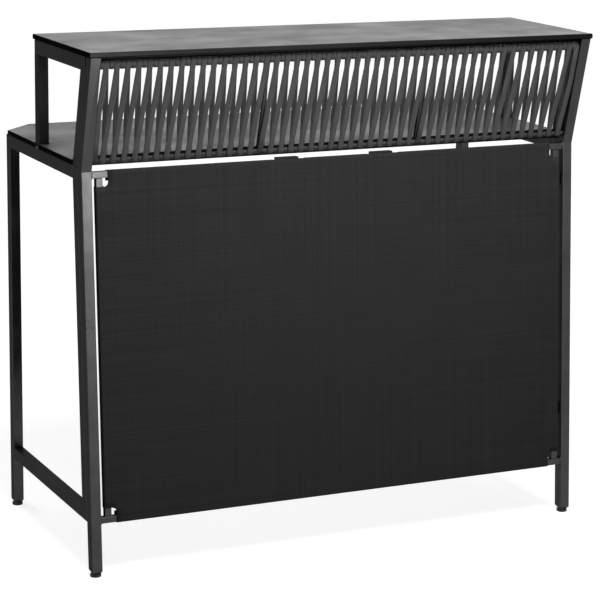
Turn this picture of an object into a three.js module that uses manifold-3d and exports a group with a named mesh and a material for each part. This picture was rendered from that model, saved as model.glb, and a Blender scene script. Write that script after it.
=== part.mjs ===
// Folding portable bar: kinked front frame with a rope panel above and a fabric panel below,
// two wings that fold in behind it, a lift-off worktop and a lift-off bar top on risers.
// Millimetres, +Z up, front towards -Y, standing on Z = 0.
import * as THREE from 'three';
import { mergeVertices } from 'three/addons/utils/BufferGeometryUtils.js';
import Module from 'manifold-3d';

const wasm = await Module();
wasm.setup();

// Overall sizes
const FRAME_WIDTH = 1160;
const BAR_HEIGHT = 1100;
const FRAME_DEPTH = 490;
const KINK_HEIGHT = 850;
const FOOT_FORWARD = 57;
const TOP_FORWARD = 60;

// Tube sections
const TUBE_WIDTH = 22;
const FRONT_TUBE_DEPTH = 27;
const REAR_TUBE_DEPTH = 25;
const TUBE_WALL = 1.6;
const SIDE_RAIL_HEIGHT = 27;
const TOP_RAIL_HEIGHT = 30;
const STRETCHER_HEIGHT = 25;
const STRETCHER_CLEARANCE = 114;

// Boards
const BOARD_THICKNESS = 11;
const BOARD_OVERHANG = 3;
const BOARD_EDGE_ROUND = 1.5;
const WORKTOP_REAR_OVERHANG = 54;
const WORKTOP_CHAMFER = 72;
const WORKTOP_FRONT_GAP = 5;
const WORKTOP_RISE = 7.3;
const RISER_SETBACK = 264;
const CROSS_RAIL = 20;

// Rope panel
const ROPE_RAIL_DIAMETER = 12;
const LOWER_ROPE_RAIL = 22;
const UPPER_ROPE_RAIL_DROP = 20;
const DIVIDER_WIDTH = 6;
const DIVIDER_DEPTH = 9;
const BAY_LOOPS = { left: 16, middle: 16, right: 15 };
const STRAND_WIDTH = 12;
const STRAND_THICKNESS = 3;
const FIRST_STRAND = 14;
const LAST_STRAND = 24;
const FRONT_ADVANCE = 15.5;
const OVER_ADVANCE = 5.5;
const BACK_ADVANCE = 14.3;
const ARC_STEPS = 5;

// Fabric panel and its carrier
const PANEL_TUBE = 14;
const PANEL_TUBE_WALL = 1.2;
const PANEL_LENGTH = 737;
const PANEL_SIDE_GAP = 10;
const FABRIC_THICKNESS = 2;
const FABRIC_NOTCH_WIDTH = 25;
const FABRIC_NOTCH_HEIGHT = 32;

// Fold hardware
const SEAM_GAP = 1;
const LEAF_THICKNESS = 3;
const LEAF_HEIGHT = 28;
const KNUCKLE_DIAMETER = 8;
const PIN_DIAMETER = 4;
const PIN_HEAD_DIAMETER = 7;
const PIN_HEAD_HEIGHT = 2;
const HINGE_DROPS = { lower: 620, upper: 95 };
const BUFFER_SPACING = 224;
const BUFFER_WIDTH = 52;
const BUFFER_RISE = 4.5;

// Levelling feet
const LEG_CLEARANCE = 12;
const FOOT_DIAMETER = 24;
const FOOT_HEIGHT = 9;
const FOOT_STEM_DIAMETER = 8;
const FOOT_STEM_LENGTH = 24;
const PLUG_HEIGHT = 14;
const RISER_PLUG_HEIGHT = 3;

// Clearances
const GAP = 0.3;
const BORE_CLEARANCE = 0.4;
const NOTCH_CLEARANCE = 1.5;
const WINDING_CLEARANCE = 0.6;
const ROUND_SIDES = 16;

// Derived places
const LEG_TOP = BAR_HEIGHT - BOARD_THICKNESS - GAP;
const SIDE_CENTRE = FRAME_WIDTH / 2 - TUBE_WIDTH / 2;
const INNER_FACE = FRAME_WIDTH / 2 - TUBE_WIDTH;
const WORKTOP_UNDERSIDE = KINK_HEIGHT + WORKTOP_RISE;
const SHELF_RAIL_TOP = WORKTOP_UNDERSIDE - GAP;
const TOP_RAIL_UNDERSIDE = LEG_TOP - TOP_RAIL_HEIGHT;
const RISER_REAR = RISER_SETBACK + REAR_TUBE_DEPTH;
const REAR_LEG_FRONT = FRAME_DEPTH - REAR_TUBE_DEPTH;
const LOWER_LEAN = -Math.atan2(FOOT_FORWARD, KINK_HEIGHT);
const UPPER_LEAN = Math.atan2(TOP_FORWARD, LEG_TOP - KINK_HEIGHT);
const UPPER_LENGTH = (LEG_TOP - KINK_HEIGHT) / Math.cos(UPPER_LEAN);
const HINGE_AXIS_Y = FRONT_TUBE_DEPTH + SEAM_GAP / 2;
const HINGE_AXIS_INSET = GAP + KNUCKLE_DIAMETER / 2;
const BAR_TOP_FRONT = -TOP_FORWARD - BOARD_OVERHANG;
const BAR_TOP_REAR = RISER_REAR + BOARD_OVERHANG;
const WORKTOP_REAR = FRAME_DEPTH + WORKTOP_REAR_OVERHANG;
const CENTRE_Y = (BAR_TOP_FRONT + WORKTOP_REAR) / 2;

const COATING = { color: 0x33353a, roughness: 0.55, metalness: 0.35 };
const BOARD_FINISH = { color: 0x5c5e61, roughness: 0.6, metalness: 0.0 };
const ROPE_FINISH = { color: 0x3f4145, roughness: 0.85, metalness: 0.0 };
const FABRIC_FINISH = { color: 0x1d1e20, roughness: 0.9, metalness: 0.0 };
const PLASTIC_FINISH = { color: 0x0b0b0c, roughness: 0.7, metalness: 0.0 };
const STEEL_FINISH = { color: 0x8b8d90, roughness: 0.35, metalness: 1.0 };

const bar = new THREE.Group();
bar.position.y = -CENTRE_Y;
const lowerPlane = new THREE.Group();
lowerPlane.position.z = KINK_HEIGHT;
lowerPlane.rotation.x = LOWER_LEAN;
const upperPlane = new THREE.Group();
upperPlane.position.z = KINK_HEIGHT;
upperPlane.rotation.x = UPPER_LEAN;
bar.add(lowerPlane, upperPlane);

const SIDES = [
  { name: 'left', sign: -1 },
  { name: 'right', sign: 1 },
];

// Solid and geometry conversions for cuts and joins
function solidOf(geometry) {
  const loose = geometry.index ? geometry.toNonIndexed() : geometry.clone();
  loose.deleteAttribute('normal');
  loose.deleteAttribute('uv');
  const merged = mergeVertices(loose, 1e-4);
  const vertProperties = new Float32Array(merged.attributes.position.array);
  const triVerts = new Uint32Array(merged.index.array);
  return new wasm.Manifold(new wasm.Mesh({ numProp: 3, vertProperties, triVerts }));
}

function geometryOf(solid) {
  const mesh = solid.getMesh();
  const geometry = new THREE.BufferGeometry();
  geometry.setAttribute('position', new THREE.BufferAttribute(mesh.vertProperties, 3));
  geometry.setIndex(new THREE.BufferAttribute(mesh.triVerts, 1));
  geometry.computeVertexNormals();
  return geometry;
}

function cut(geometry, ...tools) {
  return geometryOf(tools.reduce((rest, tool) => rest.subtract(solidOf(tool)), solidOf(geometry)));
}

function join(geometry, ...others) {
  return geometryOf(others.reduce((sum, other) => sum.add(solidOf(other)), solidOf(geometry)));
}

function add(parent, name, geometry, finish, x = 0, y = 0, z = 0) {
  const mesh = new THREE.Mesh(geometry, new THREE.MeshStandardMaterial(finish));
  mesh.name = name;
  mesh.position.set(x, y, z);
  parent.add(mesh);
  return mesh;
}

// Front face of the front leg: forward at the foot, back at the kink, forward at the top
function lowerFront(z) {
  return -FOOT_FORWARD * (1 - z / KINK_HEIGHT);
}

function upperFront(z) {
  return (-TOP_FORWARD * (z - KINK_HEIGHT)) / (LEG_TOP - KINK_HEIGHT);
}

// Side profile in Y and Z, extruded across X and centred on X = 0
function acrossX(points, width) {
  const shape = new THREE.Shape(points.map(([y, z]) => new THREE.Vector2(y, z)));
  const geometry = new THREE.ExtrudeGeometry(shape, { depth: width, bevelEnabled: false });
  geometry.translate(0, 0, -width / 2);
  const yAxis = new THREE.Vector3(0, 1, 0);
  const zAxis = new THREE.Vector3(0, 0, 1);
  const xAxis = new THREE.Vector3(1, 0, 0);
  return geometry.applyMatrix4(new THREE.Matrix4().makeBasis(yAxis, zAxis, xAxis));
}

// Profile that follows a front face at the given stations, listed upwards as [y, z] pairs
function strip(stations, inset, depth) {
  const front = stations.map(([y, z]) => [y + inset, z]);
  const rear = stations.map(([y, z]) => [y + inset + depth, z]).reverse();
  return [...front, ...rear];
}

function leaningTube(stations, depth) {
  const last = stations.length - 1;
  const through = stations.map(([y, z], i) => [y, z + (i === last ? 1 : 0) - (i === 0 ? 1 : 0)]);
  const outer = acrossX(strip(stations, 0, depth), TUBE_WIDTH);
  const bore = acrossX(strip(through, TUBE_WALL, depth - 2 * TUBE_WALL), TUBE_WIDTH - 2 * TUBE_WALL);
  return cut(outer, bore);
}

// Hollow rectangular tube along local Z, from 0 to length
function boxTube(width, height, wall, length) {
  const rectangle = (Path, w, h) => {
    const path = new Path();
    path.moveTo(-w / 2, -h / 2);
    path.lineTo(w / 2, -h / 2);
    path.lineTo(w / 2, h / 2);
    path.lineTo(-w / 2, h / 2);
    path.closePath();
    return path;
  };
  const shape = rectangle(THREE.Shape, width, height);
  shape.holes.push(rectangle(THREE.Path, width - 2 * wall, height - 2 * wall));
  return new THREE.ExtrudeGeometry(shape, { depth: length, bevelEnabled: false });
}

function roundBar(diameter, length) {
  return new THREE.CylinderGeometry(diameter / 2, diameter / 2, length, ROUND_SIDES).rotateX(Math.PI / 2);
}

// Tube from front to rear at one side, with its underside at z
function sideRail(name, sign, yFront, yRear, z, height) {
  const rail = add(bar, name, boxTube(TUBE_WIDTH, height, TUBE_WALL, yRear - yFront), COATING);
  rail.rotation.x = -Math.PI / 2;
  rail.position.set(sign * SIDE_CENTRE, yFront, z + height / 2);
  return rail;
}

// Front end of the rails under the bar top, behind the doubled tubes
const topRailFront = upperFront(TOP_RAIL_UNDERSIDE) + FRONT_TUBE_DEPTH + SEAM_GAP;

// Front legs, the uprights behind them and the side frames
function buildSide({ name, sign }) {
  const x = sign * SIDE_CENTRE;
  const legStations = [
    [lowerFront(LEG_CLEARANCE), LEG_CLEARANCE],
    [0, KINK_HEIGHT],
    [upperFront(LEG_TOP), LEG_TOP],
  ];
  add(bar, `front_leg_${name}`, leaningTube(legStations, FRONT_TUBE_DEPTH), COATING, x);

  const behind = FRONT_TUBE_DEPTH + SEAM_GAP;
  const uprightTop = TOP_RAIL_UNDERSIDE - GAP;
  const upperStations = [
    [upperFront(WORKTOP_UNDERSIDE + GAP) + behind, WORKTOP_UNDERSIDE + GAP],
    [upperFront(uprightTop) + behind, uprightTop],
  ];
  add(bar, `upper_upright_${name}`, leaningTube(upperStations, FRONT_TUBE_DEPTH), COATING, x);
  const wingStations = [
    [lowerFront(STRETCHER_CLEARANCE) + behind, STRETCHER_CLEARANCE],
    [lowerFront(SHELF_RAIL_TOP) + behind, SHELF_RAIL_TOP],
  ];
  add(bar, `wing_upright_${name}`, leaningTube(wingStations, FRONT_TUBE_DEPTH), COATING, x);

  const rearLength = SHELF_RAIL_TOP - LEG_CLEARANCE;
  const rearTube = boxTube(TUBE_WIDTH, REAR_TUBE_DEPTH, TUBE_WALL, rearLength);
  add(bar, `rear_leg_${name}`, rearTube, COATING, x, FRAME_DEPTH - REAR_TUBE_DEPTH / 2, LEG_CLEARANCE);

  const uprightRear = (z) => lowerFront(z) + behind + FRONT_TUBE_DEPTH + GAP;
  const railEnd = REAR_LEG_FRONT - GAP;
  const shelfRailZ = SHELF_RAIL_TOP - SIDE_RAIL_HEIGHT;
  sideRail(`shelf_rail_${name}`, sign, uprightRear(SHELF_RAIL_TOP), railEnd, shelfRailZ, SIDE_RAIL_HEIGHT);
  const stretcherTop = STRETCHER_CLEARANCE + STRETCHER_HEIGHT;
  sideRail(`stretcher_${name}`, sign, uprightRear(stretcherTop), railEnd, STRETCHER_CLEARANCE, STRETCHER_HEIGHT);

  sideRail(`top_rail_${name}`, sign, topRailFront, RISER_REAR, TOP_RAIL_UNDERSIDE, TOP_RAIL_HEIGHT - GAP);
  const riserFoot = WORKTOP_UNDERSIDE + RISER_PLUG_HEIGHT;
  const riserTube = boxTube(TUBE_WIDTH, REAR_TUBE_DEPTH, TUBE_WALL, TOP_RAIL_UNDERSIDE - GAP - riserFoot);
  add(bar, `riser_${name}`, riserTube, COATING, x, RISER_REAR - REAR_TUBE_DEPTH / 2, riserFoot);
  const riserPlug = new THREE.BoxGeometry(TUBE_WIDTH, REAR_TUBE_DEPTH, RISER_PLUG_HEIGHT - GAP);
  const riserPlugZ = WORKTOP_UNDERSIDE + (RISER_PLUG_HEIGHT - GAP) / 2;
  add(bar, `riser_plug_${name}`, riserPlug, PLASTIC_FINISH, x, RISER_REAR - REAR_TUBE_DEPTH / 2, riserPlugZ);
}

// Plug in a leg's lower end and the foot whose stem slides in the plug
function buildFoot(name, sign, yCentre, plug) {
  const x = sign * SIDE_CENTRE;
  const boreDiameter = FOOT_STEM_DIAMETER + 2 * BORE_CLEARANCE;
  const bore = roundBar(boreDiameter, 4 * PLUG_HEIGHT).translate(0, yCentre, LEG_CLEARANCE);
  add(bar, `leg_plug_${name}`, cut(plug, bore), PLASTIC_FINISH, x);
  const padRadius = FOOT_DIAMETER / 2;
  const stemRadius = FOOT_STEM_DIAMETER / 2;
  const shoulder = padRadius * 0.7;
  const profile = [
    [0, 0],
    [padRadius - 1, 0],
    [padRadius, 1],
    [padRadius, FOOT_HEIGHT * 0.6],
    [shoulder, FOOT_HEIGHT],
    [stemRadius, FOOT_HEIGHT],
    [stemRadius, FOOT_HEIGHT + FOOT_STEM_LENGTH],
    [0, FOOT_HEIGHT + FOOT_STEM_LENGTH],
  ];
  const points = profile.map(([r, h]) => new THREE.Vector2(r, h));
  const foot = new THREE.LatheGeometry(points, ROUND_SIDES).rotateX(Math.PI / 2);
  add(bar, `foot_${name}`, foot, PLASTIC_FINISH, x, yCentre);
}

function plugProfile(stations, depth) {
  const clearance = TUBE_WALL + GAP;
  const inner = strip(stations, clearance, depth - 2 * clearance);
  return acrossX(inner, TUBE_WIDTH - 2 * clearance);
}

function buildFeet({ name, sign }) {
  const low = FOOT_HEIGHT + GAP;
  const high = LEG_CLEARANCE + PLUG_HEIGHT;
  const frontStations = [low, high].map((z) => [lowerFront(z), z]);
  const frontCentre = lowerFront(LEG_CLEARANCE) + FRONT_TUBE_DEPTH / 2;
  buildFoot(`front_${name}`, sign, frontCentre, plugProfile(frontStations, FRONT_TUBE_DEPTH));
  const rearStations = [low, high].map((z) => [REAR_LEG_FRONT, z]);
  const rearCentre = FRAME_DEPTH - REAR_TUBE_DEPTH / 2;
  buildFoot(`rear_${name}`, sign, rearCentre, plugProfile(rearStations, REAR_TUBE_DEPTH));
}

// Hinge: a leaf on the front leg, a leaf on the wing's upright and a pin on the upright axis
function hingeLeaf(sign, z, yStart) {
  const axisX = sign * (INNER_FACE - HINGE_AXIS_INSET);
  const plateX = sign * (INNER_FACE - GAP - LEAF_THICKNESS / 2);
  const reach = HINGE_AXIS_Y - yStart;
  const plate = new THREE.BoxGeometry(LEAF_THICKNESS, Math.abs(reach), LEAF_HEIGHT);
  plate.translate(plateX, (HINGE_AXIS_Y + yStart) / 2, z + LEAF_HEIGHT / 2);
  const knuckle = roundBar(KNUCKLE_DIAMETER, LEAF_HEIGHT).translate(axisX, HINGE_AXIS_Y, z + LEAF_HEIGHT / 2);
  const bore = roundBar(PIN_DIAMETER + 2 * BORE_CLEARANCE, 2 * LEAF_HEIGHT);
  bore.translate(axisX, HINGE_AXIS_Y, z + LEAF_HEIGHT / 2);
  return cut(join(plate, knuckle), bore);
}

function buildHinges({ name, sign }) {
  for (const [level, drop] of Object.entries(HINGE_DROPS)) {
    const z = KINK_HEIGHT - drop;
    const legCentre = lowerFront(z) + FRONT_TUBE_DEPTH / 2;
    add(bar, `hinge_leg_leaf_${level}_${name}`, hingeLeaf(sign, z, legCentre), STEEL_FINISH);
    const wingZ = z + LEAF_HEIGHT + GAP;
    const uprightFront = lowerFront(wingZ + LEAF_HEIGHT) + SEAM_GAP + FRONT_TUBE_DEPTH;
    const uprightRear = uprightFront + FRONT_TUBE_DEPTH;
    const wingStart = uprightRear > HINGE_AXIS_Y + PIN_HEAD_DIAMETER ? uprightRear : uprightFront;
    add(bar, `hinge_wing_leaf_${level}_${name}`, hingeLeaf(sign, wingZ, wingStart), STEEL_FINISH);
    const pinLength = 2 * LEAF_HEIGHT + 2 * GAP;
    const shank = roundBar(PIN_DIAMETER, pinLength).translate(0, 0, pinLength / 2);
    const head = roundBar(PIN_HEAD_DIAMETER, PIN_HEAD_HEIGHT).translate(0, 0, pinLength + PIN_HEAD_HEIGHT / 2);
    const axisX = sign * (INNER_FACE - HINGE_AXIS_INSET);
    add(bar, `hinge_pin_${level}_${name}`, join(shank, head), STEEL_FINISH, axisX, HINGE_AXIS_Y, z);
  }
}

// Cross rail that stiffens the bar top's front, behind the rope
function buildCrossRail() {
  const length = 2 * (INNER_FACE - GAP);
  const rail = boxTube(CROSS_RAIL, CROSS_RAIL, PANEL_TUBE_WALL, length).translate(0, 0, -length / 2);
  const y = topRailFront + CROSS_RAIL / 2;
  add(bar, 'top_rail_front', rail.rotateY(Math.PI / 2), COATING, 0, y, LEG_TOP - GAP - CROSS_RAIL / 2);
}

// Rope panel: two rails, dividers and one unbroken winding in each bay
const ropeDepth = FRONT_TUBE_DEPTH / 2;
const upperRopeRail = UPPER_LENGTH - UPPER_ROPE_RAIL_DROP;
const railSpan = 2 * (INNER_FACE - GAP);

function buildRopeRails() {
  for (const [name, z] of [['lower', LOWER_ROPE_RAIL], ['upper', upperRopeRail]]) {
    const rail = roundBar(ROPE_RAIL_DIAMETER, railSpan).rotateY(Math.PI / 2);
    add(upperPlane, `rope_rail_${name}`, rail, COATING, 0, ropeDepth, z);
  }
  const dividerLength = upperRopeRail - LOWER_ROPE_RAIL - ROPE_RAIL_DIAMETER - 2 * GAP;
  const middle = (upperRopeRail + LOWER_ROPE_RAIL) / 2;
  const bayCount = Object.keys(BAY_LOOPS).length;
  for (let i = 1; i < bayCount; i += 1) {
    const divider = new THREE.BoxGeometry(DIVIDER_WIDTH, DIVIDER_DEPTH, dividerLength);
    const x = railSpan * (i / bayCount - 1 / 2);
    add(upperPlane, `rope_divider_${i}`, divider, COATING, x, ropeDepth, middle);
  }
}

// Centre line of a winding: up the front, over the upper rail, down the back, under the lower rail.
// Each run leans to the right as it goes, and strands beside a leg rest against it.
function windingPath(firstTop, loops, pitch) {
  const radius = ROPE_RAIL_DIAMETER / 2 + WINDING_CLEARANCE + STRAND_THICKNESS / 2;
  const reach = railSpan / 2 - STRAND_WIDTH / 2 - GAP;
  const path = [];
  const lay = (x, y, z) => path.push(new THREE.Vector3(THREE.MathUtils.clamp(x, -reach, reach), y, z));
  lay(firstTop - FRONT_ADVANCE, -radius, LOWER_ROPE_RAIL);
  for (let loop = 0; loop < loops; loop += 1) {
    const frontTop = firstTop + loop * pitch;
    for (let step = 0; step <= ARC_STEPS; step += 1) {
      const share = step / ARC_STEPS;
      const angle = Math.PI * (1 - share);
      const x = frontTop + share * OVER_ADVANCE;
      lay(x, radius * Math.cos(angle), upperRopeRail + radius * Math.sin(angle));
    }
    const backFoot = frontTop + OVER_ADVANCE + BACK_ADVANCE;
    const nextFoot = frontTop + pitch - FRONT_ADVANCE;
    const underSteps = loop + 1 < loops ? ARC_STEPS : 0;
    for (let step = 0; step <= underSteps; step += 1) {
      const share = step / ARC_STEPS;
      const angle = Math.PI * share;
      const x = backFoot + share * (nextFoot - backFoot);
      lay(x, radius * Math.cos(angle), LOWER_ROPE_RAIL - radius * Math.sin(angle));
    }
  }
  return path;
}

// Flat strand with six sides along the path, its width held along X
function strandRings(path) {
  const across = [1, 0.5, -0.5, -1, -0.5, 0.5];
  const through = [0, 1, 1, 0, -1, -1];
  return path.map((point, i) => {
    const before = path[Math.max(i - 1, 0)];
    const after = path[Math.min(i + 1, path.length - 1)];
    const tangent = after.clone().sub(before).setX(0).normalize();
    const normal = new THREE.Vector3(1, 0, 0).cross(tangent);
    return across.map((a, k) => {
      const offset = normal.clone().multiplyScalar((through[k] * STRAND_THICKNESS) / 2);
      return point.clone().add(offset).add(new THREE.Vector3((a * STRAND_WIDTH) / 2, 0, 0));
    });
  });
}

function tubeFromRings(rings) {
  const sides = rings[0].length;
  const vertices = rings.flat().flatMap((p) => [p.x, p.y, p.z]);
  const faces = [];
  for (let i = 0; i + 1 < rings.length; i += 1) {
    for (let k = 0; k < sides; k += 1) {
      const a = i * sides + k;
      const b = i * sides + ((k + 1) % sides);
      faces.push(a, b + sides, b, a, a + sides, b + sides);
    }
  }
  const end = (rings.length - 1) * sides;
  for (let k = 1; k + 1 < sides; k += 1) {
    faces.push(0, k, k + 1);
    faces.push(end, end + k + 1, end + k);
  }
  const geometry = new THREE.BufferGeometry();
  geometry.setAttribute('position', new THREE.Float32BufferAttribute(vertices, 3));
  geometry.setIndex(faces);
  geometry.computeVertexNormals();
  return geometry;
}

// Least distance between points of the strand that are half a loop or more apart along it
function leastSelfGap(rings) {
  const apart = ARC_STEPS + 1;
  let least = Infinity;
  for (let i = 0; i < rings.length; i += 1) {
    for (let j = i + apart; j < Math.min(rings.length, i + 4 * apart); j += 1) {
      for (const p of rings[i]) {
        for (const q of rings[j]) {
          least = Math.min(least, p.distanceTo(q));
        }
      }
    }
  }
  return least;
}

function buildWindings() {
  const total = Object.values(BAY_LOOPS).reduce((sum, loops) => sum + loops, 0);
  const pitch = (railSpan - FIRST_STRAND - LAST_STRAND) / (total - 1);
  let firstTop = -railSpan / 2 + FIRST_STRAND;
  for (const [name, loops] of Object.entries(BAY_LOOPS)) {
    const rings = strandRings(windingPath(firstTop, loops, pitch));
    console.log(`rope_winding_${name}: least gap to itself ${leastSelfGap(rings).toFixed(2)} mm`);
    add(upperPlane, `rope_winding_${name}`, tubeFromRings(rings), ROPE_FINISH, 0, ropeDepth);
    firstTop += loops * pitch;
  }
}

// Fabric panel on two rails and two bars, with the corners of the fabric cut away
function buildFabricPanel() {
  const carrierY = FABRIC_THICKNESS + GAP + PANEL_TUBE / 2;
  const rails = [['top', -PANEL_TUBE / 2], ['bottom', -PANEL_LENGTH + PANEL_TUBE / 2]];
  for (const [name, z] of rails) {
    const rail = boxTube(PANEL_TUBE, PANEL_TUBE, PANEL_TUBE_WALL, railSpan).translate(0, 0, -railSpan / 2);
    add(lowerPlane, `panel_rail_${name}`, rail.rotateY(Math.PI / 2), COATING, 0, carrierY, z);
  }
  const barLength = PANEL_LENGTH - 2 * PANEL_TUBE - 2 * GAP;
  for (const { name, sign } of SIDES) {
    const post = boxTube(PANEL_TUBE, PANEL_TUBE, PANEL_TUBE_WALL, barLength).translate(0, 0, -barLength / 2);
    const x = sign * (INNER_FACE - PANEL_SIDE_GAP - PANEL_TUBE / 2);
    add(lowerPlane, `panel_bar_${name}`, post, COATING, x, carrierY, -PANEL_LENGTH / 2);
  }

  const half = INNER_FACE - PANEL_SIDE_GAP;
  const notched = half - FABRIC_NOTCH_WIDTH;
  const low = -PANEL_LENGTH;
  const outline = [
    [-notched, low], [notched, low], [notched, low + FABRIC_NOTCH_HEIGHT], [half, low + FABRIC_NOTCH_HEIGHT],
    [half, -FABRIC_NOTCH_HEIGHT], [notched, -FABRIC_NOTCH_HEIGHT], [notched, 0], [-notched, 0],
    [-notched, -FABRIC_NOTCH_HEIGHT], [-half, -FABRIC_NOTCH_HEIGHT], [-half, low + FABRIC_NOTCH_HEIGHT],
    [-notched, low + FABRIC_NOTCH_HEIGHT],
  ];
  const shape = new THREE.Shape(outline.map(([x, z]) => new THREE.Vector2(x, z)));
  const fabric = new THREE.ExtrudeGeometry(shape, { depth: FABRIC_THICKNESS, bevelEnabled: false });
  add(lowerPlane, 'fabric_panel', fabric.rotateX(Math.PI / 2), FABRIC_FINISH, 0, FABRIC_THICKNESS);

  const bufferFront = FABRIC_THICKNESS + PANEL_TUBE + 2 * GAP;
  const bufferDepth = HINGE_AXIS_Y + HINGE_AXIS_INSET - 2 * GAP - bufferFront;
  const bufferHeight = PANEL_TUBE + BUFFER_RISE;
  for (const { name, sign } of SIDES) {
    const buffer = new THREE.BoxGeometry(BUFFER_WIDTH, bufferDepth, bufferHeight);
    const x = (sign * BUFFER_SPACING) / 2;
    const z = BUFFER_RISE - bufferHeight / 2;
    add(lowerPlane, `wing_buffer_${name}`, buffer, PLASTIC_FINISH, x, bufferFront + bufferDepth / 2, z);
  }
}

// Board: an outline in X and Y, with its edges eased by a small bevel
function board(outline, underside) {
  const shape = new THREE.Shape(outline.map(([x, y]) => new THREE.Vector2(x, y)));
  const geometry = new THREE.ExtrudeGeometry(shape, {
    depth: BOARD_THICKNESS - 2 * BOARD_EDGE_ROUND,
    bevelEnabled: true,
    bevelThickness: BOARD_EDGE_ROUND,
    bevelSize: BOARD_EDGE_ROUND,
    bevelOffset: -BOARD_EDGE_ROUND,
    bevelSegments: 1,
  });
  return geometry.translate(0, 0, underside + BOARD_EDGE_ROUND);
}

function buildBoards() {
  const edge = FRAME_WIDTH / 2 + BOARD_OVERHANG;
  const barTop = [[-edge, BAR_TOP_FRONT], [edge, BAR_TOP_FRONT], [edge, BAR_TOP_REAR], [-edge, BAR_TOP_REAR]];
  add(bar, 'bar_top', board(barTop, BAR_HEIGHT - BOARD_THICKNESS), BOARD_FINISH);

  const front = FRONT_TUBE_DEPTH + WORKTOP_FRONT_GAP;
  const inner = INNER_FACE - NOTCH_CLEARANCE;
  const corner = 2 * FRONT_TUBE_DEPTH + SEAM_GAP + NOTCH_CLEARANCE;
  const notchFront = RISER_SETBACK - NOTCH_CLEARANCE;
  const notchRear = RISER_REAR + NOTCH_CLEARANCE;
  const rightHalf = [
    [inner, front], [inner, corner], [edge, corner],
    [edge, notchFront], [inner, notchFront], [inner, notchRear], [edge, notchRear],
    [edge, WORKTOP_REAR - WORKTOP_CHAMFER], [edge - WORKTOP_CHAMFER, WORKTOP_REAR],
  ];
  const leftHalf = rightHalf.map(([x, y]) => [-x, y]).reverse();
  add(bar, 'worktop', board([...rightHalf, ...leftHalf], WORKTOP_UNDERSIDE), BOARD_FINISH);
}

SIDES.forEach(buildSide);
buildCrossRail();
SIDES.forEach(buildFeet);
SIDES.forEach(buildHinges);
buildRopeRails();
buildWindings();
buildFabricPanel();
buildBoards();

export default bar;
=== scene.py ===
"""Looks of the folding portable bar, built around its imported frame.

Lengths are metres in the frame's axes: +Z up, the guests' side towards -Y, the floor at Z = 0.
"""
import logging
import math
import random
from collections.abc import Iterable
from dataclasses import dataclass, field, replace
from enum import Enum
from typing import ClassVar

import bmesh
import bpy
from mathutils import Matrix, Vector


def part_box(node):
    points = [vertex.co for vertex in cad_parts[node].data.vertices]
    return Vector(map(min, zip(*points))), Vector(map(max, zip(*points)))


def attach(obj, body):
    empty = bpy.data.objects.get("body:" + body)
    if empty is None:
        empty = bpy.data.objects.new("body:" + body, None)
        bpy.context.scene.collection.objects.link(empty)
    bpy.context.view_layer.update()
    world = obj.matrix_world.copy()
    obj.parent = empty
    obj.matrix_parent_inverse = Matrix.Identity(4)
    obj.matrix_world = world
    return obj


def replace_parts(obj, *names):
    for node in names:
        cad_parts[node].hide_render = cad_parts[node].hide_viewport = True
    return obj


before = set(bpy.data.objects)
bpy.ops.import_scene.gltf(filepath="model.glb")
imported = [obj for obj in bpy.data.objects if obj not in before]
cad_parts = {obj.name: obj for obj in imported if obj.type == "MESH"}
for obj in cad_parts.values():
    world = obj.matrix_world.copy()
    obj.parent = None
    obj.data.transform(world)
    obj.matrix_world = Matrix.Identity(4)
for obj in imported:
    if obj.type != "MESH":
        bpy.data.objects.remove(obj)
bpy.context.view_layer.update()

log = logging.getLogger("bar")

MM = 0.001
SIDES = {"left": -1.0, "right": 1.0}
X_AXIS = Vector((1.0, 0.0, 0.0))
FRONT_BODY = "front_frame"
IMAGE_SIZE = 600
SENSOR_WIDTH = 36.0
# Numbers of the colour sockets of a Mix node.
MIX_FIRST, MIX_SECOND, MIX_RESULT = 6, 7, 2


class Slot(Enum):
    """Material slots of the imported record."""

    COATING = "coating"
    BOARD = "board"
    ROPE = "rope"
    SLING = "sling"
    PLASTIC = "plastic"
    STEEL = "steel"


def grey(level: float) -> tuple[float, float, float, float]:
    """Turns a screen grey into a linear colour along the sRGB curve.

    Args:
        level: screen grey from 0 to 255.

    Returns:
        Linear red, green, blue and alpha.
    """
    share = level / 255.0
    linear = ((share + 0.055) / 1.055) ** 2.4 if share > 0.04045 else share / 12.92
    return (linear, linear, linear, 1.0)


def centre(node: str) -> Vector:
    """Middle of a CAD node's box at rest."""
    low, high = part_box(node)
    return (low + high) / 2.0


def object_from(name: str, bm: bmesh.types.BMesh) -> bpy.types.Object:
    """Closes a bmesh into a smoothly shaded scene object at the origin.

    Args:
        name: the piece's name.
        bm: the finished bmesh, which is freed.

    Returns:
        The new object.
    """
    mesh = bpy.data.meshes.new(name)
    for face in bm.faces:
        face.smooth = True
    bm.to_mesh(mesh)
    bm.free()
    piece = bpy.data.objects.new(name, mesh)
    bpy.context.scene.collection.objects.link(piece)
    return piece


def dress(piece: bpy.types.Object, material: bpy.types.Material) -> None:
    """Gives a piece one material in place of what it had.

    Args:
        piece: a CAD node or a new piece.
        material: its finish.
    """
    slots = piece.material_slots
    if slots:
        for slot in slots:
            slot.link = "OBJECT"
            slot.material = material
        return
    piece.data.materials.append(material)


def fit(
    piece: bpy.types.Object, body: str, material: bpy.types.Material
) -> bpy.types.Object:
    """Hangs a new piece on its body and finishes it.

    Args:
        piece: the new piece.
        body: the CAD body it moves with.
        material: its finish.

    Returns:
        The same piece.
    """
    dress(piece, material)
    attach(piece, body)
    log.info("%s on %s, %d faces", piece.name, body, len(piece.data.polygons))
    return piece


@dataclass(frozen=True)
class Pattern:
    """A noise pattern: its scale, detail and roughness, and its weight in a sum."""

    scale: float
    detail: float
    rough: float
    weight: float = 1.0


@dataclass(frozen=True)
class Spread:
    """A range of values and the range that it is mapped to."""

    low: float
    high: float
    to_low: float = 0.0
    to_high: float = 1.0


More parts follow.
